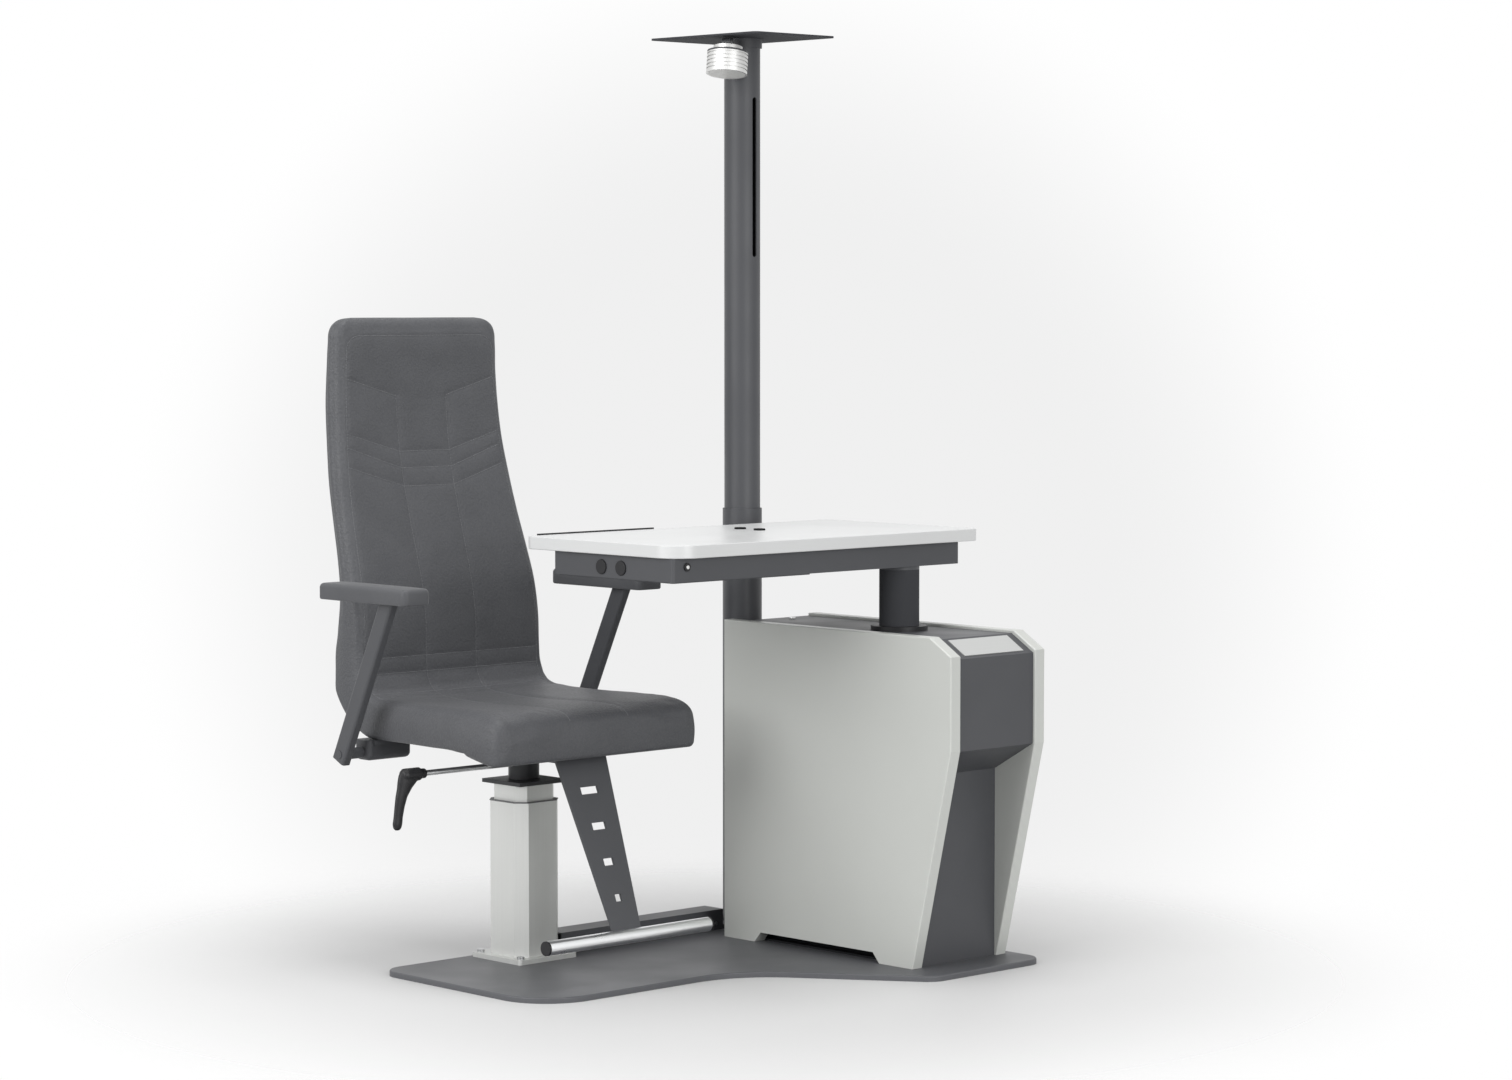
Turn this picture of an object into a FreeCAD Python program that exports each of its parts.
import FreeCAD, Part
import math
import os

V = FreeCAD.Vector

# Frame: origin on the floor under the chair column, +Z up, the patient faces -Y, +X is the patient's left.
# All sizes are in millimetres.

# Fits
RUN = 0.05              # radial running clearance of a shaft in its bore
CLEAR = 0.3             # gap between faces that move past each other
SOFT_CLEAR = 0.5        # gap left round a padded piece
BOLT_CLEAR = 0.5        # radial clearance of a bolt hole

# Base plate
BASE_T = 12.0
BASE_EDGE_R = 3.0
BASE_SIDE = 318.0       # column axis to the free side
BASE_BACK = 92.0        # column axis to the back edge
BASE_CHAIR_FRONT = 433.0
BASE_CAB_MARGIN = 25.0  # beyond the cabinet's far side
BASE_TOE = 93.0         # in front of the cabinet's toe
BASE_NECK_X = 215.0     # where the chair's front edge turns towards the cabinet
BASE_NECK_GAP = 26.0    # from the cabinet's near side back to the end of the slanted edge
BASE_R_BACK = 50.0
BASE_R_CHAIR = 120.0
BASE_R_NECK = 220.0
BASE_R_FRONT = 48.0

# Cabinet
CAB_X = 488.0           # outer face of the near side panel
CAB_W = 287.3
CAB_FRONT = -788.0
CAB_DEPTH = 686.7
CAB_H = 700.0
PANEL_T = 29.8
PANEL_EDGE_R = 3.0
CHAMFER_RUN = 61.7
CHAMFER_DROP = 37.4
KNEE_H = 465.6
TOE_BACK = 108.7
NOTCH_FRONT = 207.0     # from the panel's front line to the notch at floor level
NOTCH_LEN = 382.0
NOTCH_H = 22.0
NOTCH_SLANT = 19.0
SKIRT_IN = 22.0         # from the side panel to the floor's turned-up edge
SKIRT_OVER = 12.0       # turned-up edge above the notch
BODY_INSET = 6.0        # dark body behind the panels' edges
SHEET_T = 3.0
COVER_LIP = 20.0        # front cover's lip on the top
CHIN_H = 464.0          # lower edge of the front block above the base
CHIN_DROP = 62.0
RECESS = 114.5          # from the panels' front line to the lower front
FLOOR_T = 4.0
FASCIA_W = 180.0
FASCIA_L = 56.0
FASCIA_T = 2.0
PLUG_D = 12.0
PLUG_T = 2.0
PLUG_X = 27.0           # from the cabinet's middle
PLUG_BACK = 40.0        # from the cabinet's rear

# Mains inlet and control unit
INLET_W = 48.0
INLET_H = 27.0
INLET_FLANGE = 6.0
INLET_DEPTH = 30.0
INLET_RECESS_W = 24.0
INLET_RECESS_H = 16.0
INLET_RECESS_D = 15.0
INLET_Z = 95.0
INLET_X = 55.0
UNIT_W = 150.0
UNIT_D = 120.0
UNIT_H = 210.0
UNIT_BACK = 60.0        # from the rear cover
UNIT_EDGE_R = 5.0

# Pole and shelf
POLE_Y = -8.0
POLE_D = 80.0
POLE_WALL = 3.0
POLE_TOP = 1987.0
SLEEVE_D = 87.6
SLEEVE_TOP = 948.0
SLEEVE_GAP = 0.1
SLOT_W = 12.0
SLOT_L = 352.0
SLOT_DROP = 129.0       # pole's top to the slot's top
POLE_FOOT_D = 156.0
POLE_BOLT_R = 62.0
SHELF_X = 245.0
SHELF_Y = 345.0
SHELF_T = 4.0
SHELF_R = 14.0
COLLAR_D = 88.0
COLLAR_H = 20.0

# Lamp
LAMP_ANGLE = 208.6      # direction from the pole to the lamp, in plan
LAMP_REACH = 97.0
LAMP_DROP = 12.0        # pivot below the shelf
LAMP_TILT = 11.0
LAMP_D = 90.0
LAMP_H = 50.0
LAMP_RING_D = 64.0
LAMP_RING_H = 8.0
LAMP_NECK_H = 3.0
LAMP_NECK_D = 56.0
LAMP_RIBS = 5
LAMP_GROOVE_W = 3.0
LAMP_GROOVE_D = 2.5
LAMP_LIP = 4.0
LAMP_LENS_T = 3.0
LAMP_HANG = 11.0        # pivot above the lamp's ring
ARM_BAR_H = 12.0
EYE_D = 18.0
EYE_W = 14.0
EAR_T = 5.0
EAR_W = 16.0
LAMP_PIN_D = 6.0

# Cable duct
DUCT_H = 45.0
DUCT_W = 60.0
DUCT_FRONT = 28.0       # column axis to the duct's front face
DUCT_WALL = 3.0
DUCT_BOSS = 10.0
DUCT_SCREW_D = 5.0
DUCT_HEAD_D = 9.0
DUCT_HEAD_H = 2.5
DUCT_SCREW_END = 22.0   # screw to the duct's end
DUCT_SCREW_Z = 15.0

# Chair column
FLANGE_W = 160.0
FLANGE_T = 10.0
FLANGE_BOLT = 66.0      # bolt to the column axis, each way
BOLT_D = 10.0
BOLT_HEAD_D = 16.0
BOLT_HEAD_H = 6.0
COL_W = 122.0
COL_CHAMFER = 22.5
COL_WALL = 8.0
COL_TOP = 350.0
INNER_WALL = 6.0
INNER_SHOW = 37.0
INNER_IN = 270.0        # inner profile inside the outer one at rest
ACT_D = 56.0
ACT_H = 270.0
ROD_D = 24.0
ROD_IN = 240.0
LIFT_PLATE_W = 126.0
LIFT_PLATE_T = 8.0
SWIVEL_PIN_D = 30.0
SWIVEL_PIN_H = 47.0
NECK_D = 66.0
NECK_H = 60.0
CLAMP_ROD_D = 12.0
CLAMP_Z = 34.0          # rod above the lift plate
CLAMP_HUB_X = 268.0     # column axis to the lever's hub
CLAMP_HUB_L = 48.0
CLAMP_HUB_D = 26.0
LEVER_T = 14.0
LEVER_DROP = 108.0
LEVER_OUT = 84.0        # hub's inner end to the lever's outer edge
LEVER_TIP = 21.0
LEVER_BOW = 4.0         # how far the lever's outer edge bows out
ROD_TIP_GAP = 2.0

# Seat frame and shell
FRAME_W = 200.0
FRAME_FRONT = 130.0
FRAME_BACK = 215.0
FRAME_H = 26.5
FRAME_T = 5.0
BOSS_D = 16.0
BOSS_X = 75.0
BOSS_Y = 90.0
SHELL_T = 10.0
SHELL_HALF = 180.0
SHELL_RISE = 33.0       # shell's middle above the seat's underside

# Upholstery stations: front or top point (y, height), rear or bottom point (y, height), half width, crown.
# Heights are above the seat's underside. The stations run from the nose round the bend to the back's top.
CUSHION_STATIONS = [
    ((-248.0, 50.0), (-248.0, -8.0), 258.0, 2.0),
    ((-245.0, 60.0), (-245.0, -16.0), 267.0, 2.0),
    ((-236.0, 70.0), (-236.0, -21.0), 274.0, 1.0),
    ((-218.0, 78.0), (-218.0, -21.0), 278.0, -0.5),
    ((-180.0, 83.0), (-180.0, -15.0), 278.0, -2.0),
    ((-100.0, 85.0), (-100.0, -1.0), 273.0, -5.0),
    ((0.0, 83.0), (0.0, 0.0), 266.0, -6.0),
    ((90.0, 83.0), (90.0, 0.0), 261.0, -6.0),
    ((150.0, 86.0), (155.0, 0.0), 259.0, -5.0),
    ((190.0, 93.0), (224.0, 5.0), 259.0, -4.0),
    ((217.0, 108.0), (276.0, 34.0), 260.0, -4.0),
    ((232.0, 134.0), (318.0, 84.0), 261.0, -4.0),
    ((237.0, 172.0), (327.0, 152.0), 261.0, -4.0),
    ((239.0, 237.0), (320.0, 220.0), 260.0, -4.0),
    ((250.0, 313.0), (314.0, 295.0), 258.0, -4.0),
    ((271.0, 388.0), (326.0, 368.0), 253.0, -4.0),
    ((294.0, 463.0), (348.0, 446.0), 247.0, -4.0),
    ((317.0, 553.0), (374.0, 540.0), 240.0, -4.0),
    ((331.0, 628.0), (390.0, 623.0), 233.0, -4.0),
    ((339.0, 698.0), (399.0, 700.0), 229.0, -3.0),
    ((343.0, 768.0), (398.0, 774.0), 226.0, -2.0),
    ((344.0, 828.0), (393.0, 834.0), 224.0, 1.0),
    ((345.5, 852.0), (390.0, 857.0), 222.0, 2.0),
    ((348.0, 866.0), (387.0, 869.0), 217.0, 2.0),
    ((352.0, 875.0), (384.0, 877.0), 209.0, 2.0),
    ((357.0, 881.5), (380.0, 883.0), 198.0, 2.0),
    ((362.0, 885.0), (376.0, 886.0), 184.0, 2.0),
    ((366.0, 886.5), (372.0, 887.0), 170.0, 2.0),
]
CUSHION_CORNER = 14.0   # largest corner radius of a section
CORNER_SHARE = 0.32     # corner radius where the section is thin
SIDE_BULGE = 3.0
SPLIT_TOP = (232.0, 134.0)
SPLIT_BOTTOM = (318.0, 84.0)

# Shell line (y, height above the seat's underside), from the seat's front to the back's top
SHELL_BACK = [
    (215.0, 40.0), (262.0, 63.0), (283.0, 98.0), (286.0, 158.0), (283.0, 218.0), (284.0, 293.0),
    (303.0, 373.0), (325.0, 453.0), (350.0, 545.0), (365.0, 625.0), (375.0, 698.0), (376.0, 758.0),
]
SHELL_FRONT_Y = -170.0
SHELL_BEND_Y = 160.0

# Armrests
ARM_X = 322.0           # middle of the arm bar
ARM_BAR_T = 22.0
ARM_BAR_DEPTH = 40.0
ARM_BAR_R = 6.0
ARM_PIVOT_Y = 207.0
ARM_PIVOT_DROP = 27.0   # below the seat's underside
ARM_TOP_Y = 48.0
ARM_PAD_RISE = 301.0    # pad's underside above the seat's underside
ARM_BAR_TAIL = 16.0
ARM_PIN_D = 14.0
ARM_PIN_HEAD_D = 18.0
ARM_PIN_HEAD_T = 1.0
ARM_PIN_IN = 25.0
BRACKET_W = 50.0
BRACKET_DROP = 44.0
BRACKET_OUT = 275.0
BRACKET_IN = 157.0
BRACKET_R = 12.0
BEAM_W = 40.0
BEAM_T = 10.0
BOSS_ARM_D = 24.0
PAD_W = 72.0
PAD_FRONT = -48.0
PAD_L = 295.0
PAD_T = 34.0
PAD_CROWN = 2.5
PAD_WAIST = 1.5
PAD_END_R = 7.0

# Footrest
FOOT_PLATE_T = 6.0
FOOT_BACK_Y = -30.0
FOOT_BEND_Y = -186.0
FOOT_TUBE_Y = -336.0
FOOT_TUBE_Z = 97.0
FOOT_TUBE_D = 30.0
FOOT_TUBE_WALL = 2.0
FOOT_TUBE_L = 444.0
FOOT_TOP_HALF = 69.0
FOOT_BOTTOM_HALF = 37.0
FOOT_SLOTS = 4
FOOT_SLOT_TOP = 66.0    # first slot below the bend
FOOT_SLOT_PITCH = 72.0
FOOT_SLOT_W = 47.0
FOOT_SLOT_STEP = 10.0
FOOT_SLOT_H = 15.0
CAP_T = 5.0
CAP_IN = 14.0

# Table post
POST_Y = -498.0
POST_D = 86.0
POST_WALL = 4.0
POST_SHOW = 132.0       # cabinet top to the tray
POST_IN = 452.0         # below the cabinet's top
POST_CAP_T = 8.0
POST_PIN_D = 30.0
POST_PIN_H = 36.0
HUB_T = 7.7
HUB_BOSS_D = 60.0
HUB_BOSS_H = 30.0
GUIDE_D = 100.0
GUIDE_TOP_GAP = 6.0
BOOT_D = 122.0
BOOT_H = 10.0
T_ACT_D = 50.0
T_ACT_H = 464.0
T_ROD_D = 20.0
T_ROD_IN = 280.0

# Table
TOP_L = 888.0
TOP_D = 471.0
TOP_T = 26.5
TOP_RIGHT = 180.4       # post axis to the right end
TOP_BACK = 403.0        # post axis to the back edge
TOP_R_NEAR = 60.0
TOP_R = 22.0
TOP_EDGE_R = 2.0
TRAY_H = 48.5
TRAY_T = 3.0
TRAY_LEFT = 12.0
TRAY_RIGHT = 42.0
TRAY_FRONT = 23.0
TRAY_BACK = 81.0
TRAY_CORNER_R = 6.0
PAN_T = 2.5
PAN_L = 387.0
PAN_INSET = 6.0
GROMMET_X = 419.0
GROMMET_Y = -257.0
GROMMET_PITCH = 60.0
GROMMET_D = 22.0
GROMMET_WALL = 1.5
GROMMET_FLANGE_D = 26.0
GROMMET_FLANGE_T = 1.0
RAIL_L = 326.0
RAIL_START = 38.0       # from the top's left end
RAIL_T = 4.0
RAIL_H = 20.0
RAIL_RISE = 3.0         # above the table's top

# Buttons
BUTTON_D = 31.0
BUTTON_PROUD = 3.0
BUTTON_FLANGE = 3.0
BUTTON_FLANGE_T = 2.5
BUTTON_EDGE_R = 1.0
END_BUTTON_Y = -356.0
END_BUTTON_PITCH = 60.0
END_BUTTON_Z = 22.0     # above the tray's underside
RELEASE_D = 18.0
RELEASE_X = 38.0        # from the tray's left end
RELEASE_Z = 30.0

# Derived places
CAB_MID = CAB_X + CAB_W / 2
CAB_REAR = CAB_FRONT + CAB_DEPTH
CAB_TOP = BASE_T + CAB_H
BODY_X0 = CAB_X + PANEL_T
BODY_X1 = CAB_X + CAB_W - PANEL_T
COVER_TOP = CAB_TOP - BODY_INSET
COVER_UNDER = COVER_TOP - SHEET_T
TOE_Y = CAB_FRONT + TOE_BACK
RECESS_Y = CAB_FRONT + RECESS
FLOOR_TOP = BASE_T + FLOOR_T
REAR_IN = CAB_REAR - SHEET_T
FOOT_TOP = BASE_T + FLANGE_T
INNER_W = COL_W - 2 * COL_WALL - 2 * CLEAR
INNER_CHAMFER = COL_CHAMFER - (COL_WALL + CLEAR) * (2 - math.sqrt(2))
INNER_TOP = COL_TOP + INNER_SHOW
PLATE_TOP = INNER_TOP + LIFT_PLATE_T
NECK_TOP = PLATE_TOP + NECK_H
FRAME_TOP = NECK_TOP + FRAME_H
SEAT_Z = FRAME_TOP + SOFT_CLEAR
SHELL_UNDER = SEAT_Z + SHELL_RISE - SHELL_T / 2
CLAMP_AXIS_Z = PLATE_TOP + CLAMP_Z
ARM_PIVOT_Z = SEAT_Z - ARM_PIVOT_DROP
PAD_Z = SEAT_Z + ARM_PAD_RISE
TRAY_Z = CAB_TOP + POST_SHOW
TOP_Z = TRAY_Z + TRAY_H
TOP_X1 = CAB_MID + TOP_RIGHT
TOP_X0 = TOP_X1 - TOP_L
TOP_Y1 = POST_Y + TOP_BACK
TOP_Y0 = TOP_Y1 - TOP_D
TRAY_X0 = TOP_X0 + TRAY_LEFT
TRAY_X1 = TOP_X1 - TRAY_RIGHT
TRAY_Y0 = TOP_Y0 + TRAY_FRONT
TRAY_Y1 = TOP_Y1 - TRAY_BACK
SLOT_Z1 = POLE_TOP - SLOT_DROP
SLOT_Z0 = SLOT_Z1 - SLOT_L
POST_TOP = TRAY_Z - HUB_T - CLEAR
POST_BOTTOM = CAB_TOP - POST_IN
LAMP_DIR = V(math.cos(math.radians(LAMP_ANGLE)), math.sin(math.radians(LAMP_ANGLE)), 0)
LAMP_AXIS = LAMP_DIR.cross(V(0, 0, 1))
LAMP_PIVOT = V(CAB_MID, POLE_Y, POLE_TOP - LAMP_DROP) + LAMP_DIR * LAMP_REACH


def box(x0, x1, y0, y1, z0, z1):
    return Part.makeBox(x1 - x0, y1 - y0, z1 - z0, V(x0, y0, z0))


def rod(start, direction, length, diameter):
    return Part.makeCylinder(diameter / 2, length, start, direction)


def ring(start, direction, length, outer, inner):
    return rod(start, direction, length, outer).cut(rod(start, direction, length, inner))


def prism_x(points, x0, x1):
    wire = Part.makePolygon([V(x0, y, z) for y, z in points + points[:1]])
    return Part.Face(wire).extrude(V(x1 - x0, 0, 0))


def prism_y(points, y0, y1):
    wire = Part.makePolygon([V(x, y0, z) for x, z in points + points[:1]])
    return Part.Face(wire).extrude(V(0, y1 - y0, 0))


def rounded_prism(corners, z0, height):
    """Upright prism on a plan outline, each corner (x, y, radius) rounded by a tangent arc."""
    edges = []
    ends = []
    count = len(corners)
    for i in range(count):
        here = V(corners[i][0], corners[i][1], z0)
        before = V(corners[i - 1][0], corners[i - 1][1], z0)
        after = V(corners[(i + 1) % count][0], corners[(i + 1) % count][1], z0)
        back = (before - here).normalize()
        ahead = (after - here).normalize()
        half = back.getAngle(ahead) / 2
        reach = corners[i][2] / math.tan(half)
        centre = here + (back + ahead).normalize() * (corners[i][2] / math.sin(half))
        middle = centre + (here - centre).normalize() * corners[i][2]
        start = here + back * reach
        end = here + ahead * reach
        edges.append(Part.Arc(start, middle, end).toShape())
        ends.append((start, end))
    for i in range(count):
        edges.append(Part.LineSegment(ends[i - 1][1], ends[i][0]).toShape())
    wire = Part.Wire(Part.__sortEdges__(edges))
    return Part.Face(wire).extrude(V(0, 0, height))


def strip(points, thickness):
    """Closed outline of a bent sheet: a line of points and its mitred offset to the line's left."""
    offset = []
    for i, (a, b) in enumerate(points):
        normals = []
        for j in (i - 1, i):
            if 0 <= j < len(points) - 1:
                da = points[j + 1][0] - points[j][0]
                db = points[j + 1][1] - points[j][1]
                length = math.hypot(da, db)
                normals.append((-db / length, da / length))
        na = sum(n[0] for n in normals) / len(normals)
        nb = sum(n[1] for n in normals) / len(normals)
        scale = thickness / (na * na + nb * nb)
        offset.append((a + na * scale, b + nb * scale))
    return points + offset[::-1]


def vertical_edges(shape):
    return [e for e in shape.Edges if abs(e.tangentAt(e.FirstParameter).z) > 0.99 and len(e.Vertexes) == 2]


def edges_at_z(shape, z):
    return [e for e in shape.Edges if all(abs(v.Z - z) < 0.001 for v in e.Vertexes)
            and abs(e.CenterOfMass.z - z) < 0.001]


def chamfered_square(width, chamfer, z0, height):
    half = width / 2
    flat = half - chamfer
    points = [(-half, -flat), (-flat, -half), (flat, -half), (half, -flat),
              (half, flat), (flat, half), (-flat, half), (-half, flat)]
    wire = Part.makePolygon([V(x, y, z0) for x, y in points + points[:1]])
    return Part.Face(wire).extrude(V(0, 0, height))


def padded_section(origin, across, through, half, thick, crown, bulge):
    """Closed section of a padded piece: crowned face, rounded corners, swelling sides, flat back."""
    corner = min(CUSHION_CORNER, CORNER_SHARE * thick)
    cut = corner * (1 - math.sqrt(0.5))

    def at(u, v):
        return origin + across * u + through * v

    def arc(a, b, c):
        return Part.Arc(at(*a), at(*b), at(*c)).toShape()

    inner = half - corner
    edges = [
        arc((-inner, thick), (0, thick + crown), (inner, thick)),
        arc((inner, thick), (half - cut, thick - cut), (half, thick - corner)),
        arc((half, thick - corner), (half + bulge, thick / 2), (half, corner)),
        arc((half, corner), (half - cut, cut), (inner, 0)),
        Part.LineSegment(at(inner, 0), at(-inner, 0)).toShape(),
        arc((-inner, 0), (cut - half, cut), (-half, corner)),
        arc((-half, corner), (-half - bulge, thick / 2), (-half, thick - corner)),
        arc((-half, thick - corner), (cut - half, thick - cut), (-inner, thick)),
    ]
    return Part.Wire(edges)


# Base, duct and column

def base_plate():
    right = CAB_X + CAB_W + BASE_CAB_MARGIN
    front = TOE_Y - BASE_TOE
    outline = [
        (-BASE_SIDE, BASE_BACK, BASE_R_BACK),
        (-BASE_SIDE, -BASE_CHAIR_FRONT, BASE_R_CHAIR),
        (BASE_NECK_X, -BASE_CHAIR_FRONT, BASE_R_NECK),
        (CAB_X - BASE_NECK_GAP, front, BASE_R_FRONT),
        (right, front, BASE_R_FRONT),
        (right, BASE_BACK, BASE_R_BACK),
    ]
    plate = rounded_prism(outline, 0, BASE_T)
    plate = plate.makeFillet(BASE_EDGE_R, edges_at_z(plate, BASE_T))
    for place in foot_bolt_places():
        plate = plate.cut(rod(V(place.x, place.y, 0), V(0, 0, 1), BASE_T, BOLT_D))
    return plate


def foot_bolt_places():
    places = [V(sx * FLANGE_BOLT, sy * FLANGE_BOLT, 0) for sx in (-1, 1) for sy in (-1, 1)]
    for i in range(4):
        angle = math.radians(45 + 90 * i)
        places.append(V(CAB_MID + POLE_BOLT_R * math.cos(angle), POLE_Y + POLE_BOLT_R * math.sin(angle), 0))
    return places


def foot_bolts():
    bolts = []
    for place in foot_bolt_places():
        shank = rod(V(place.x, place.y, 0), V(0, 0, 1), FOOT_TOP, BOLT_D)
        head = rod(V(place.x, place.y, FOOT_TOP), V(0, 0, 1), BOLT_HEAD_H, BOLT_HEAD_D)
        bolts.append(shank.fuse(head).removeSplitter())
    return Part.makeCompound(bolts)


def drill_bolts(flange):
    for place in foot_bolt_places():
        flange = flange.cut(rod(V(place.x, place.y, BASE_T), V(0, 0, 1), FLANGE_T, BOLT_D + 2 * BOLT_CLEAR))
    return flange


def column_flange():
    half = FLANGE_W / 2
    plate = box(-half, half, -half, half, BASE_T, FOOT_TOP)
    plate = plate.makeFillet(BOLT_HEAD_H, vertical_edges(plate))
    return drill_bolts(plate)


def column_outer():
    outer = chamfered_square(COL_W, COL_CHAMFER, FOOT_TOP, COL_TOP - FOOT_TOP)
    hollow = chamfered_square(INNER_W + 2 * CLEAR, INNER_CHAMFER, FOOT_TOP, COL_TOP - FOOT_TOP)
    return outer.cut(hollow)


def column_inner():
    bottom = COL_TOP - INNER_IN
    height = INNER_TOP - bottom
    wall_chamfer = INNER_CHAMFER - INNER_WALL * (2 - math.sqrt(2))
    outer = chamfered_square(INNER_W, INNER_CHAMFER, bottom, height)
    return outer.cut(chamfered_square(INNER_W - 2 * INNER_WALL, wall_chamfer, bottom, height))


def chair_actuator():
    return ring(V(0, 0, FOOT_TOP), V(0, 0, 1), ACT_H, ACT_D, ROD_D + 2 * RUN)


def chair_actuator_rod():
    bottom = FOOT_TOP + ACT_H - ROD_IN
    return rod(V(0, 0, bottom), V(0, 0, 1), INNER_TOP - bottom, ROD_D)


def lift_plate():
    half = LIFT_PLATE_W / 2
    plate = box(-half, half, -half, half, INNER_TOP, PLATE_TOP)
    return plate.fuse(rod(V(0, 0, PLATE_TOP), V(0, 0, 1), SWIVEL_PIN_H, SWIVEL_PIN_D)).removeSplitter()


def cable_duct():
    x0 = FLANGE_W / 2
    x1 = CAB_MID - POLE_FOOT_D / 2
    y0 = -DUCT_FRONT
    y1 = y0 + DUCT_W
    top = BASE_T + DUCT_H
    cover = box(x0, x1, y0, y1, BASE_T, top)
    cover = cover.cut(box(x0, x1, y0 + DUCT_WALL, y1 - DUCT_WALL, BASE_T, top - DUCT_WALL))
    for place in duct_screw_places():
        boss = rod(place + V(0, DUCT_WALL, 0), V(0, 1, 0), DUCT_BOSS, DUCT_HEAD_D)
        cover = cover.fuse(boss)
        cover = cover.cut(rod(place, V(0, 1, 0), DUCT_WALL + DUCT_BOSS, DUCT_SCREW_D))
    return cover.removeSplitter()


def duct_screw_places():
    z = BASE_T + DUCT_SCREW_Z
    near = V(FLANGE_W / 2 + DUCT_SCREW_END, -DUCT_FRONT, z)
    far = V(CAB_MID - POLE_FOOT_D / 2 - DUCT_SCREW_END, -DUCT_FRONT, z)
    return [near, far]


def duct_screws():
    screws = []
    for place in duct_screw_places():
        shank = rod(place, V(0, 1, 0), DUCT_WALL + DUCT_BOSS, DUCT_SCREW_D)
        head = rod(place, V(0, -1, 0), DUCT_HEAD_H, DUCT_HEAD_D)
        screws.append(shank.fuse(head).removeSplitter())
    return Part.makeCompound(screws)


# Cabinet

def side_panel(x0):
    outline = [
        (CAB_REAR, BASE_T),
        (CAB_REAR, CAB_TOP),
        (CAB_FRONT + CHAMFER_RUN, CAB_TOP),
        (CAB_FRONT, CAB_TOP - CHAMFER_DROP),
        (CAB_FRONT, BASE_T + KNEE_H),
        (TOE_Y, BASE_T),
    ]
    panel = prism_x(outline, x0, x0 + PANEL_T)
    rounded = [e for e in panel.Edges if abs(e.CenterOfMass.x - x0 - PANEL_T / 2) > PANEL_T / 4
               and e.CenterOfMass.z > BASE_T + PANEL_EDGE_R]
    panel = panel.makeFillet(PANEL_EDGE_R, rounded)
    front = CAB_FRONT + NOTCH_FRONT
    back = front + NOTCH_LEN
    notch = [(front, BASE_T), (front + NOTCH_SLANT, BASE_T + NOTCH_H),
             (back - NOTCH_SLANT, BASE_T + NOTCH_H), (back, BASE_T)]
    return panel.cut(prism_x(notch, x0, x0 + PANEL_T))


def cabinet_floor():
    y0 = RECESS_Y + SHEET_T
    floor = box(BODY_X0, BODY_X1, y0, REAR_IN, BASE_T, FLOOR_TOP)
    top = BASE_T + NOTCH_H + SKIRT_OVER
    edges = [box(x, x + SHEET_T, y0, REAR_IN, FLOOR_TOP, top)
             for x in (BODY_X0 + SKIRT_IN, BODY_X1 - SKIRT_IN - SHEET_T)]
    return floor.fuse(edges).removeSplitter()


def body_line():
    """Front block's outer line: its lip on the top, the chamfer, the front and the chin's underside."""
    front = CAB_FRONT + BODY_INSET
    return [
        (front + CHAMFER_RUN + COVER_LIP, COVER_TOP),
        (front + CHAMFER_RUN, COVER_TOP),
        (front, COVER_TOP - CHAMFER_DROP),
        (front, BASE_T + CHIN_H),
        (RECESS_Y, BASE_T + CHIN_H - CHIN_DROP),
    ]


def front_cover():
    return prism_x(strip(body_line(), SHEET_T), BODY_X0, BODY_X1)


def lower_front_panel():
    return box(BODY_X0, BODY_X1, RECESS_Y, RECESS_Y + SHEET_T, BASE_T, BASE_T + CHIN_H - CHIN_DROP)


def top_cover():
    cover = box(BODY_X0, BODY_X1, body_line()[0][0], REAR_IN, COVER_UNDER, COVER_TOP)
    cover = cover.cut(rod(V(CAB_MID, POST_Y, COVER_UNDER), V(0, 0, 1), SHEET_T, POST_D + 2 * CLEAR))
    plug = V(CAB_MID + PLUG_X, CAB_REAR - PLUG_BACK, COVER_UNDER)
    return cover.cut(rod(plug, V(0, 0, 1), SHEET_T, PLUG_D / 2))


def cover_plug():
    place = V(CAB_MID + PLUG_X, CAB_REAR - PLUG_BACK, COVER_UNDER)
    stem = rod(place, V(0, 0, 1), SHEET_T, PLUG_D / 2)
    head = rod(place + V(0, 0, SHEET_T), V(0, 0, 1), PLUG_T, PLUG_D)
    return stem.fuse(head).removeSplitter()


def inlet_centre():
    return V(CAB_MID + INLET_X, CAB_REAR, BASE_T + INLET_Z)


def rear_cover():
    cover = box(BODY_X0, BODY_X1, REAR_IN, CAB_REAR, BASE_T, COVER_TOP)
    c = inlet_centre()
    return cover.cut(box(c.x - INLET_W / 2, c.x + INLET_W / 2, REAR_IN, CAB_REAR,
                         c.z - INLET_H / 2, c.z + INLET_H / 2))


def power_inlet():
    c = inlet_centre()
    half_w = INLET_W / 2
    half_h = INLET_H / 2
    body = box(c.x - half_w, c.x + half_w, c.y - INLET_DEPTH, c.y, c.z - half_h, c.z + half_h)
    flange = box(c.x - half_w - INLET_FLANGE, c.x + half_w + INLET_FLANGE, c.y, c.y + SHEET_T,
                 c.z - half_h - INLET_FLANGE, c.z + half_h + INLET_FLANGE)
    flange = flange.makeFillet(SHEET_T, [e for e in flange.Edges if abs(e.tangentAt(e.FirstParameter).y) > 0.99])
    face = c.y + SHEET_T
    recess = box(c.x - INLET_RECESS_W / 2, c.x + INLET_RECESS_W / 2, face - INLET_RECESS_D, face,
                 c.z - INLET_RECESS_H / 2, c.z + INLET_RECESS_H / 2)
    return body.fuse(flange).removeSplitter().cut(recess)


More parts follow.
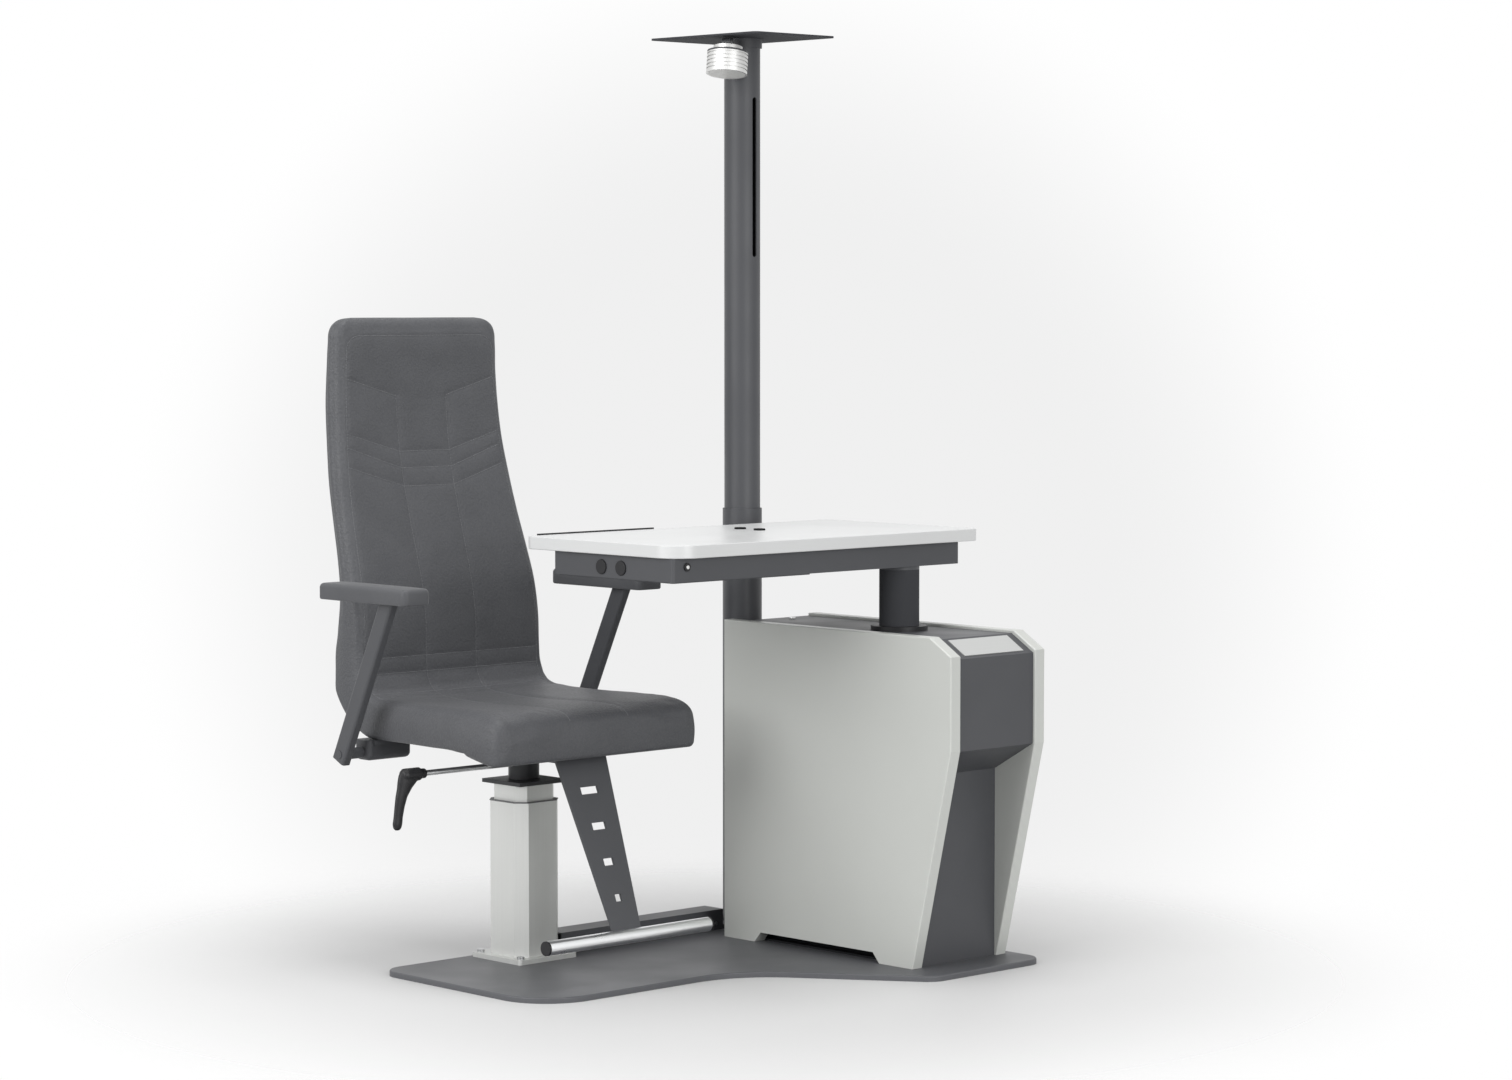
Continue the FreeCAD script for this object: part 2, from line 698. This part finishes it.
def control_fascia():
    (ya, za), (yb, zb) = body_line()[1:3]
    length = math.hypot(ya - yb, za - zb)
    start = (length - FASCIA_L) / 2 / length
    end = 1 - start
    line = [(yb + (ya - yb) * start, zb + (za - zb) * start), (yb + (ya - yb) * end, zb + (za - zb) * end)]
    return prism_x(strip(line, FASCIA_T), CAB_MID - FASCIA_W / 2, CAB_MID + FASCIA_W / 2)


def control_unit():
    back = REAR_IN - UNIT_BACK
    unit = box(CAB_MID - UNIT_W / 2, CAB_MID + UNIT_W / 2, back - UNIT_D, back, FLOOR_TOP, FLOOR_TOP + UNIT_H)
    return unit.makeFillet(UNIT_EDGE_R, vertical_edges(unit))


# Pole, shelf and lamp arm

def pole_foot():
    return drill_bolts(rod(V(CAB_MID, POLE_Y, BASE_T), V(0, 0, 1), FLANGE_T, POLE_FOOT_D))


def pole_sleeve():
    return ring(V(CAB_MID, POLE_Y, FOOT_TOP), V(0, 0, 1), SLEEVE_TOP - FOOT_TOP, SLEEVE_D,
                POLE_D + 2 * SLEEVE_GAP)


def pole_length(z0, z1):
    """A length of the pole's tube, less the cable slot with its round ends."""
    half = SLOT_W / 2
    tube = ring(V(CAB_MID, POLE_Y, z0), V(0, 0, 1), z1 - z0, POLE_D, POLE_D - 2 * POLE_WALL)
    slot = box(CAB_MID - half, CAB_MID + half, POLE_Y - POLE_D, POLE_Y, SLOT_Z0 + half, SLOT_Z1 - half)
    for z in (SLOT_Z0 + half, SLOT_Z1 - half):
        slot = slot.fuse(rod(V(CAB_MID, POLE_Y, z), V(0, -1, 0), POLE_D, SLOT_W))
    return tube.cut(slot)


def pole_tube():
    """The plain tube below and above the slotted length."""
    low = pole_length(FOOT_TOP, SLOT_Z0 + SLOT_W / 2)
    high = pole_length(SLOT_Z1 - SLOT_W / 2, POLE_TOP)
    return Part.makeCompound(low.Solids + high.Solids)


def pole_slot_tube():
    return pole_length(SLOT_Z0 + SLOT_W / 2, SLOT_Z1 - SLOT_W / 2)


def shelf_collar():
    return ring(V(CAB_MID, POLE_Y, POLE_TOP - COLLAR_H), V(0, 0, 1), COLLAR_H, COLLAR_D,
                POLE_D + 2 * SLEEVE_GAP)


def projector_shelf():
    x0 = CAB_MID - SHELF_X / 2
    y0 = POLE_Y - SHELF_Y / 2
    corners = [(x0, y0), (x0 + SHELF_X, y0), (x0 + SHELF_X, y0 + SHELF_Y), (x0, y0 + SHELF_Y)]
    return rounded_prism([(x, y, SHELF_R) for x, y in corners], POLE_TOP, SHELF_T)


def lamp_arm():
    start = COLLAR_D / 2 - SHEET_T
    bar = Part.makeBox(LAMP_REACH - start, EYE_W, ARM_BAR_H, V(start, -EYE_W / 2, -ARM_BAR_H / 2))
    bar.Placement = FreeCAD.Placement(V(CAB_MID, POLE_Y, LAMP_PIVOT.z),
                                      FreeCAD.Rotation(V(0, 0, 1), LAMP_ANGLE))
    eye = rod(LAMP_PIVOT - LAMP_AXIS * (EYE_W / 2), LAMP_AXIS, EYE_W, EYE_D)
    pin_l = EYE_W / 2 + CLEAR + EAR_T + CLEAR
    pin = rod(LAMP_PIVOT - LAMP_AXIS * pin_l, LAMP_AXIS, 2 * pin_l, LAMP_PIN_D)
    arm = bar.fuse([eye, pin])
    collar = rod(V(CAB_MID, POLE_Y, POLE_TOP - COLLAR_H), V(0, 0, 1), COLLAR_H, COLLAR_D)
    return arm.cut(collar).removeSplitter()


# Lamp

def tilt_lamp(shape):
    shape.rotate(LAMP_PIVOT, LAMP_AXIS, LAMP_TILT)
    return shape


def lamp_top_z():
    return LAMP_PIVOT.z - LAMP_HANG


def lamp_housing():
    r = LAMP_D / 2
    pitch = LAMP_H / (LAMP_RIBS + 1)
    z = lamp_top_z() - LAMP_RING_H
    outline = [(0, lamp_top_z()), (LAMP_RING_D / 2, lamp_top_z()), (LAMP_RING_D / 2, z), (LAMP_NECK_D / 2, z)]
    z -= LAMP_NECK_H
    outline += [(LAMP_NECK_D / 2, z), (r, z)]
    for i in range(LAMP_RIBS):
        middle = z - pitch * (i + 1)
        outline += [
            (r, middle + LAMP_GROOVE_W / 2), (r - LAMP_GROOVE_D, middle + LAMP_GROOVE_W / 2),
            (r - LAMP_GROOVE_D, middle - LAMP_GROOVE_W / 2), (r, middle - LAMP_GROOVE_W / 2),
        ]
    bottom = z - LAMP_H
    seat = bottom + LAMP_LENS_T
    outline += [(r, bottom), (r - LAMP_LIP, bottom), (r - LAMP_LIP, seat), (0, seat)]
    axis = V(LAMP_PIVOT.x, LAMP_PIVOT.y, 0)
    wire = Part.makePolygon([axis + V(a, 0, b) for a, b in outline + outline[:1]])
    body = Part.Face(wire).revolve(axis, V(0, 0, 1), 360)
    for side in (-1, 1):
        inner = LAMP_AXIS * (side * (EYE_W / 2 + CLEAR))
        face = LAMP_PIVOT + inner
        ear = rod(face, LAMP_AXIS * side, EAR_T, EAR_W)
        web = Part.makeBox(EAR_W, EAR_T, LAMP_HANG, V(-EAR_W / 2, -EAR_T if side > 0 else 0, -LAMP_HANG))
        web.Placement = FreeCAD.Placement(face, FreeCAD.Rotation(V(0, 0, 1), LAMP_ANGLE))
        body = body.fuse([ear, web])
    body = body.cut(rod(LAMP_PIVOT - LAMP_AXIS * LAMP_D, LAMP_AXIS, 2 * LAMP_D, LAMP_PIN_D + 2 * RUN))
    return tilt_lamp(body.removeSplitter())


def lamp_lens():
    bottom = lamp_top_z() - LAMP_RING_H - LAMP_NECK_H - LAMP_H
    return tilt_lamp(rod(V(LAMP_PIVOT.x, LAMP_PIVOT.y, bottom), V(0, 0, 1), LAMP_LENS_T, LAMP_D - 2 * LAMP_LIP))


# Chair

def swivel_housing():
    start = V(0, 0, PLATE_TOP + CLEAR)
    neck = ring(start, V(0, 0, 1), NECK_H - CLEAR, NECK_D, SWIVEL_PIN_D + 2 * RUN)
    return neck.cut(rod(V(0, 0, CLAMP_AXIS_Z), V(-1, 0, 0), NECK_D, CLAMP_ROD_D + 2 * RUN))


def clamp_rod():
    start = SWIVEL_PIN_D / 2 + ROD_TIP_GAP
    return rod(V(-start, 0, CLAMP_AXIS_Z), V(-1, 0, 0), CLAMP_HUB_X - start, CLAMP_ROD_D)


def clamp_lever():
    hub = rod(V(-CLAMP_HUB_X, 0, CLAMP_AXIS_Z), V(-1, 0, 0), CLAMP_HUB_L, CLAMP_HUB_D)
    y = -LEVER_T / 2
    outer = -CLAMP_HUB_X - LEVER_OUT
    tip_z = CLAMP_AXIS_Z - LEVER_DROP
    root_z = CLAMP_AXIS_Z - CLAMP_HUB_D / 4
    top_left = V(-CLAMP_HUB_X - CLAMP_HUB_L - CLAMP_HUB_D / 2, y, CLAMP_AXIS_Z + CLAMP_HUB_D / 4)
    top_right = V(-CLAMP_HUB_X - CLAMP_HUB_L / 2, y, root_z)
    low_left = V(outer, y, tip_z + LEVER_TIP / 2)
    low_right = V(outer + LEVER_TIP, y, tip_z + LEVER_TIP / 2)
    left_mid = (top_left + low_left) * 0.5 + V(-LEVER_BOW, 0, 0)
    right_mid = (top_right + low_right) * 0.5 + V(-LEVER_TIP / 2, 0, LEVER_TIP / 2)
    tip = V(outer + LEVER_TIP / 2, y, tip_z)
    wire = Part.Wire([
        Part.LineSegment(top_right, top_left).toShape(),
        Part.Arc(top_left, left_mid, low_left).toShape(),
        Part.Arc(low_left, tip, low_right).toShape(),
        Part.Arc(low_right, right_mid, top_right).toShape(),
    ])
    arm = Part.Face(wire).extrude(V(0, LEVER_T, 0))
    return hub.fuse(arm).removeSplitter()


def seat_frame():
    half = FRAME_W / 2
    frame = box(-half, half, -FRAME_FRONT, FRAME_BACK, NECK_TOP, FRAME_TOP)
    inner = half - FRAME_T
    pocket = box(-inner, inner, -FRAME_FRONT + FRAME_T, FRAME_BACK - FRAME_T, NECK_TOP, FRAME_TOP - FRAME_T)
    frame = frame.cut(pocket)
    post = rod(V(0, 0, NECK_TOP), V(0, 0, 1), FRAME_H - FRAME_T, NECK_D)
    foot_rib = box(-FOOT_TOP_HALF, FOOT_TOP_HALF, -FRAME_FRONT + FRAME_T, FOOT_BACK_Y - NECK_D / 2,
                   NECK_TOP, NECK_TOP + FRAME_T)
    bosses = [rod(V(sx * BOSS_X, sy * BOSS_Y, FRAME_TOP), V(0, 0, 1), SHELL_UNDER - FRAME_TOP, BOSS_D)
              for sx in (-1, 1) for sy in (-1, 1)]
    return frame.fuse([post, foot_rib] + bosses).removeSplitter()


def shell_line(extra):
    """Middle line of the moulded shell, lengthened by extra at both ends."""
    line = [(SHELL_FRONT_Y - extra, SEAT_Z + SHELL_RISE), (SHELL_BEND_Y, SEAT_Z + SHELL_RISE)]
    line += [(y, SEAT_Z + h) for y, h in SHELL_BACK]
    line[-1] = (line[-1][0], line[-1][1] + extra)
    return line


def shell_solid(extra):
    line = shell_line(extra)
    half = SHELL_T / 2 + extra
    upper = strip(line, half)[len(line):]
    lower = strip(line, -half)[len(line):]
    return prism_x(upper + lower[::-1], -SHELL_HALF - extra, SHELL_HALF + extra)


def chair_shell():
    return shell_solid(0.0)


def upholstery():
    """The whole L-shaped padded form, with room for the shell and flat where the frame carries it."""
    wires = []
    for front, rear, half, crown in CUSHION_STATIONS:
        origin = V(0, rear[0], SEAT_Z + rear[1])
        through = V(0, front[0] - rear[0], front[1] - rear[1])
        thick = through.Length
        wires.append(padded_section(origin, V(1, 0, 0), through.normalize(), half, thick, crown, SIDE_BULGE))
    form = Part.makeLoft(wires, True, False)
    low = SEAT_Z - ARM_PIVOT_DROP
    form = form.cut(box(-ARM_X, ARM_X, -FRAME_FRONT - FRAME_T, FRAME_BACK + FRAME_T, low, SEAT_Z))
    form = form.cut(shell_solid(SOFT_CLEAR))
    for sx in (-1, 1):
        for sy in (-1, 1):
            place = V(sx * BOSS_X, sy * BOSS_Y, FRAME_TOP)
            form = form.cut(rod(place, V(0, 0, 1), SHELL_UNDER - FRAME_TOP, BOSS_D + 2 * SOFT_CLEAR))
    return form


def split_region(above):
    """Large prism on one side of the seam plane between seat and back."""
    far = 4 * FRAME_W
    run = V(0, SPLIT_BOTTOM[0] - SPLIT_TOP[0], SPLIT_BOTTOM[1] - SPLIT_TOP[1]).normalize()
    top = (SPLIT_TOP[0] - run.y * FRAME_W, SEAT_Z + SPLIT_TOP[1] - run.z * FRAME_W)
    low = (SPLIT_BOTTOM[0] + run.y * far, SEAT_Z + SPLIT_BOTTOM[1] + run.z * far)
    if above:
        outline = [top, low, (low[0], SEAT_Z + 2 * far), (top[0], SEAT_Z + 2 * far)]
    else:
        outline = [top, low, (-far, low[1]), (-far, top[1])]
    return prism_x(outline, -far, far)


def arm_bracket(side):
    half_b = BRACKET_W / 2
    low = SEAT_Z - BRACKET_DROP
    top = FRAME_TOP
    block = box(BRACKET_IN, BRACKET_OUT, ARM_PIVOT_Y - half_b, ARM_PIVOT_Y + half_b, low, top)
    low_edges = [e for e in block.Edges if abs(e.CenterOfMass.z - low) < 0.01]
    block = block.makeFillet(BRACKET_R, low_edges + vertical_edges(block))
    reach = BRACKET_OUT - BRACKET_R
    beam = box(FRAME_W / 2, reach, FRAME_BACK - BEAM_W, FRAME_BACK, top - BEAM_T, top)
    boss_l = ARM_X - ARM_BAR_T / 2 - CLEAR - BRACKET_OUT
    boss = rod(V(BRACKET_OUT, ARM_PIVOT_Y, ARM_PIVOT_Z), V(1, 0, 0), boss_l, BOSS_ARM_D)
    bracket = block.fuse([beam, boss]).removeSplitter()
    pin_start = V(BRACKET_OUT - ARM_PIN_IN, ARM_PIVOT_Y, ARM_PIVOT_Z)
    bracket = bracket.cut(rod(pin_start, V(1, 0, 0), ARM_PIN_IN + boss_l, ARM_PIN_D))
    return mirror_to(bracket, side)


def mirror_to(shape, side):
    if side < 0:
        return shape.mirror(V(0, 0, 0), V(1, 0, 0))
    return shape


def arm_pins():
    outer = ARM_X + ARM_BAR_T / 2 + CLEAR
    pins = []
    for side in (-1, 1):
        start = V(BRACKET_OUT - ARM_PIN_IN, ARM_PIVOT_Y, ARM_PIVOT_Z)
        pin = rod(start, V(1, 0, 0), outer - start.x, ARM_PIN_D)
        head = rod(V(outer, ARM_PIVOT_Y, ARM_PIVOT_Z), V(1, 0, 0), ARM_PIN_HEAD_T, ARM_PIN_HEAD_D)
        pins.append(mirror_to(pin.fuse(head).removeSplitter(), side))
    return Part.makeCompound(pins)


def arm_bar(side):
    lean = math.degrees(math.atan2(ARM_PIVOT_Y - ARM_TOP_Y, PAD_Z - ARM_PIVOT_Z))
    length = math.hypot(ARM_PIVOT_Y - ARM_TOP_Y, PAD_Z - ARM_PIVOT_Z)
    half_t = ARM_BAR_T / 2
    half_d = ARM_BAR_DEPTH / 2
    bar = box(-half_t, half_t, -half_d, half_d, -ARM_BAR_TAIL, length + ARM_BAR_DEPTH)
    bar = bar.makeFillet(ARM_BAR_R, vertical_edges(bar))
    bar.rotate(V(0, 0, 0), V(1, 0, 0), lean)
    bar.translate(V(ARM_X, ARM_PIVOT_Y, ARM_PIVOT_Z))
    roof = PAD_Z - CLEAR
    bar = bar.cut(box(ARM_X - PAD_W, ARM_X + PAD_W, -length, length, roof, roof + 2 * ARM_BAR_DEPTH))
    bore = rod(V(ARM_X - PAD_W, ARM_PIVOT_Y, ARM_PIVOT_Z), V(1, 0, 0), 2 * PAD_W, ARM_PIN_D + 2 * RUN)
    return mirror_to(bar.cut(bore), side)


def arm_pad(side):
    half = PAD_W / 2
    back = PAD_FRONT + PAD_L
    middle = PAD_FRONT + PAD_L / 2
    wires = []
    for y, draw in ((PAD_FRONT, 0.0), (middle, PAD_WAIST), (back, 0.0)):
        origin = V(ARM_X, y, PAD_Z)
        wires.append(padded_section(origin, V(1, 0, 0), V(0, 0, 1), half - draw, PAD_T, PAD_CROWN, -PAD_WAIST))
    pad = Part.makeLoft(wires, True, False)
    ends = [e for e in pad.Edges if min(abs(e.CenterOfMass.y - PAD_FRONT), abs(e.CenterOfMass.y - back)) < 0.01]
    return mirror_to(pad.makeFillet(PAD_END_R, ends), side)


# Footrest

def footrest_tube_solid():
    return rod(V(-FOOT_TUBE_L / 2, FOOT_TUBE_Y, FOOT_TUBE_Z), V(1, 0, 0), FOOT_TUBE_L, FOOT_TUBE_D)


def footrest_plate():
    line = [(FOOT_BACK_Y - NECK_D / 2, NECK_TOP), (FOOT_BEND_Y, NECK_TOP), (FOOT_TUBE_Y, FOOT_TUBE_Z)]
    plate = prism_x(strip(line, FOOT_PLATE_T), -FRAME_W, FRAME_W)
    top = NECK_TOP + FRAME_H
    bottom = FOOT_TUBE_Z - FOOT_TUBE_D
    outline = [(-FOOT_TOP_HALF, top), (-FOOT_TOP_HALF, NECK_TOP), (-FOOT_BOTTOM_HALF, FOOT_TUBE_Z),
               (-FOOT_BOTTOM_HALF, bottom), (FOOT_BOTTOM_HALF, bottom), (FOOT_BOTTOM_HALF, FOOT_TUBE_Z),
               (FOOT_TOP_HALF, NECK_TOP), (FOOT_TOP_HALF, top)]
    plate = plate.common(prism_y(outline, FOOT_TUBE_Y - FOOT_TUBE_D, 0))
    for i in range(FOOT_SLOTS):
        half = (FOOT_SLOT_W - FOOT_SLOT_STEP * i) / 2
        z = NECK_TOP - FOOT_SLOT_TOP - FOOT_SLOT_PITCH * i
        slot = box(-half, half, FOOT_TUBE_Y - FOOT_TUBE_D, FOOT_BEND_Y + FOOT_TUBE_D,
                   z - FOOT_SLOT_H / 2, z + FOOT_SLOT_H / 2)
        plate = plate.cut(slot)
    return plate.cut(footrest_tube_solid())


def footrest_tube():
    hollow = rod(V(-FOOT_TUBE_L / 2, FOOT_TUBE_Y, FOOT_TUBE_Z), V(1, 0, 0), FOOT_TUBE_L,
                 FOOT_TUBE_D - 2 * FOOT_TUBE_WALL)
    return footrest_tube_solid().cut(hollow)


def footrest_caps():
    caps = []
    for side in (-1, 1):
        end = V(side * FOOT_TUBE_L / 2, FOOT_TUBE_Y, FOOT_TUBE_Z)
        head = rod(end, V(side, 0, 0), CAP_T, FOOT_TUBE_D)
        stem = rod(end, V(-side, 0, 0), CAP_IN, FOOT_TUBE_D - 2 * FOOT_TUBE_WALL)
        caps.append(head.fuse(stem).removeSplitter())
    return Part.makeCompound(caps)


# Table lift

def post_guide():
    return ring(V(CAB_MID, POST_Y, FLOOR_TOP), V(0, 0, 1), COVER_UNDER - GUIDE_TOP_GAP - FLOOR_TOP, GUIDE_D,
                POST_D + 2 * RUN)


def post_boot():
    return ring(V(CAB_MID, POST_Y, COVER_TOP), V(0, 0, 1), BOOT_H, BOOT_D, POST_D + 2 * CLEAR)


def table_actuator():
    return ring(V(CAB_MID, POST_Y, FLOOR_TOP), V(0, 0, 1), T_ACT_H, T_ACT_D, T_ROD_D + 2 * RUN)


def table_actuator_rod():
    bottom = FLOOR_TOP + T_ACT_H - T_ROD_IN
    return rod(V(CAB_MID, POST_Y, bottom), V(0, 0, 1), POST_TOP - POST_CAP_T - bottom, T_ROD_D)


def table_post():
    tube = rod(V(CAB_MID, POST_Y, POST_BOTTOM), V(0, 0, 1), POST_TOP - POST_BOTTOM, POST_D)
    hollow = rod(V(CAB_MID, POST_Y, POST_BOTTOM), V(0, 0, 1), POST_TOP - POST_CAP_T - POST_BOTTOM,
                 POST_D - 2 * POST_WALL)
    pin = rod(V(CAB_MID, POST_Y, POST_TOP), V(0, 0, 1), POST_PIN_H, POST_PIN_D)
    return tube.cut(hollow).fuse(pin).removeSplitter()


def table_hub():
    disc = rod(V(CAB_MID, POST_Y, TRAY_Z - HUB_T), V(0, 0, 1), HUB_T, POST_D)
    boss = rod(V(CAB_MID, POST_Y, TRAY_Z), V(0, 0, 1), HUB_BOSS_H, HUB_BOSS_D)
    bore = rod(V(CAB_MID, POST_Y, TRAY_Z - HUB_T), V(0, 0, 1), HUB_T + HUB_BOSS_H, POST_PIN_D + 2 * RUN)
    return disc.fuse(boss).removeSplitter().cut(bore)


# Table

def end_button_places():
    z = TRAY_Z + END_BUTTON_Z
    return [V(TRAY_X0, END_BUTTON_Y + s * END_BUTTON_PITCH / 2, z) for s in (-1, 1)]


def release_place():
    return V(TRAY_X0 + RELEASE_X, TRAY_Y0, TRAY_Z + RELEASE_Z)


def table_tray():
    tray = box(TRAY_X0, TRAY_X1, TRAY_Y0, TRAY_Y1, TRAY_Z, TOP_Z)
    tray = tray.makeFillet(TRAY_CORNER_R, vertical_edges(tray))
    hollow = box(TRAY_X0 + TRAY_T, TRAY_X1 - TRAY_T, TRAY_Y0 + TRAY_T, TRAY_Y1 - TRAY_T, TRAY_Z + TRAY_T, TOP_Z)
    hollow = hollow.makeFillet(TRAY_CORNER_R - TRAY_T, vertical_edges(hollow))
    tray = tray.cut(hollow)
    tray = tray.cut(rod(V(CAB_MID, POST_Y, TRAY_Z), V(0, 0, 1), TRAY_T, HUB_BOSS_D))
    for place in end_button_places():
        tray = tray.cut(rod(place, V(1, 0, 0), TRAY_T, BUTTON_D))
    return tray.cut(rod(release_place(), V(0, 1, 0), TRAY_T, RELEASE_D))


def tray_pan():
    pan = box(TRAY_X0 + PAN_INSET, TRAY_X0 + PAN_INSET + PAN_L, TRAY_Y0 + PAN_INSET, TRAY_Y1 - PAN_INSET,
              TRAY_Z - PAN_T, TRAY_Z)
    return pan.makeFillet(TRAY_CORNER_R, vertical_edges(pan))


def grommet_places():
    return [V(GROMMET_X, GROMMET_Y + s * GROMMET_PITCH / 2, TOP_Z) for s in (-1, 1)]


def table_top():
    corners = [(TOP_X0, TOP_Y0, TOP_R_NEAR), (TOP_X1, TOP_Y0, TOP_R), (TOP_X1, TOP_Y1, TOP_R),
               (TOP_X0, TOP_Y1, TOP_R)]
    top = rounded_prism(corners, TOP_Z, TOP_T)
    top = top.makeFillet(TOP_EDGE_R, edges_at_z(top, TOP_Z + TOP_T) + edges_at_z(top, TOP_Z))
    seat = V(0, 0, TOP_T - GROMMET_FLANGE_T)
    for place in grommet_places():
        top = top.cut(rod(place, V(0, 0, 1), TOP_T, GROMMET_D))
        top = top.cut(rod(place + seat, V(0, 0, 1), GROMMET_FLANGE_T, GROMMET_FLANGE_D))
    return top


def top_grommets():
    inner = GROMMET_D - 2 * GROMMET_WALL
    seat = V(0, 0, TOP_T - GROMMET_FLANGE_T)
    rings = []
    for place in grommet_places():
        liner = rod(place, V(0, 0, 1), TOP_T, GROMMET_D)
        flange = rod(place + seat, V(0, 0, 1), GROMMET_FLANGE_T, GROMMET_FLANGE_D)
        bore = rod(place, V(0, 0, 1), TOP_T, inner)
        rings.append(liner.fuse(flange).removeSplitter().cut(bore))
    return Part.makeCompound(rings)


def rear_rail():
    x0 = TOP_X0 + RAIL_START
    z1 = TOP_Z + TOP_T + RAIL_RISE
    return box(x0, x0 + RAIL_L, TOP_Y1, TOP_Y1 + RAIL_T, z1 - RAIL_H, z1)


def push_button(place, inward, diameter):
    """Round button through a wall: a domed cap outside and a retaining flange behind the wall."""
    cap_l = BUTTON_PROUD + TRAY_T + CLEAR
    cap = rod(place - inward * BUTTON_PROUD, inward, cap_l, diameter - 2 * CLEAR)
    rim = [e for e in cap.Edges if e.Closed and (e.CenterOfMass - place).dot(inward) < 0]
    cap = cap.makeFillet(BUTTON_EDGE_R, rim)
    flange = rod(place + inward * (TRAY_T + CLEAR), inward, BUTTON_FLANGE_T, diameter + 2 * BUTTON_FLANGE)
    return cap.fuse(flange).removeSplitter()


def build():
    padded = upholstery()
    rear_button, front_button = reversed(end_button_places())
    return {
        "base_plate": base_plate(),
        "cable_duct": cable_duct(),
        "duct_screws": duct_screws(),
        "column_flange": column_flange(),
        "foot_bolts": foot_bolts(),
        "column_outer": column_outer(),
        "chair_actuator": chair_actuator(),
        "side_panel_right": side_panel(CAB_X),
        "side_panel_left": side_panel(CAB_X + CAB_W - PANEL_T),
        "cabinet_floor": cabinet_floor(),
        "front_cover": front_cover(),
        "lower_front_panel": lower_front_panel(),
        "top_cover": top_cover(),
        "rear_cover": rear_cover(),
        "control_fascia": control_fascia(),
        "cover_plug": cover_plug(),
        "post_boot": post_boot(),
        "post_guide": post_guide(),
        "table_actuator": table_actuator(),
        "control_unit": control_unit(),
        "power_inlet": power_inlet(),
        "pole_foot": pole_foot(),
        "pole_sleeve": pole_sleeve(),
        "pole_tube": pole_tube(),
        "pole_slot_tube": pole_slot_tube(),
        "projector_shelf": projector_shelf(),
        "shelf_collar": shelf_collar(),
        "lamp_arm": lamp_arm(),
        "column_inner": column_inner(),
        "chair_actuator_rod": chair_actuator_rod(),
        "lift_plate": lift_plate(),
        "swivel_housing": swivel_housing(),
        "seat_frame": seat_frame(),
        "chair_shell": chair_shell(),
        "seat_cushion": padded.common(split_region(False)),
        "back_cushion": padded.common(split_region(True)),
        "arm_brackets": Part.makeCompound([arm_bracket(side) for side in (-1, 1)]),
        "arm_pins": arm_pins(),
        "footrest_plate": footrest_plate(),
        "footrest_tube": footrest_tube(),
        "footrest_caps": footrest_caps(),
        "clamp_rod": clamp_rod(),
        "clamp_lever": clamp_lever(),
        "arm_bar_right": arm_bar(-1),
        "arm_pad_right": arm_pad(-1),
        "arm_bar_left": arm_bar(1),
        "arm_pad_left": arm_pad(1),
        "table_post": table_post(),
        "table_actuator_rod": table_actuator_rod(),
        "table_hub": table_hub(),
        "table_tray": table_tray(),
        "tray_pan": tray_pan(),
        "table_top": table_top(),
        "top_grommets": top_grommets(),
        "rear_rail": rear_rail(),
        "end_button_rear": push_button(rear_button, V(1, 0, 0), BUTTON_D),
        "end_button_front": push_button(front_button, V(1, 0, 0), BUTTON_D),
        "release_button": push_button(release_place(), V(0, 1, 0), RELEASE_D),
        "lamp_housing": lamp_housing(),
        "lamp_lens": lamp_lens(),
    }


os.makedirs("parts", exist_ok=True)
for name, shape in build().items():
    shape.exportStep(os.path.join("parts", name + ".step"))
    bounds = shape.BoundBox
    print("%-20s solids %d valid %s volume %.0f  x %.1f..%.1f  y %.1f..%.1f  z %.1f..%.1f" % (
        name, len(shape.Solids), shape.isValid(), shape.Volume,
        bounds.XMin, bounds.XMax, bounds.YMin, bounds.YMax, bounds.ZMin, bounds.ZMax))
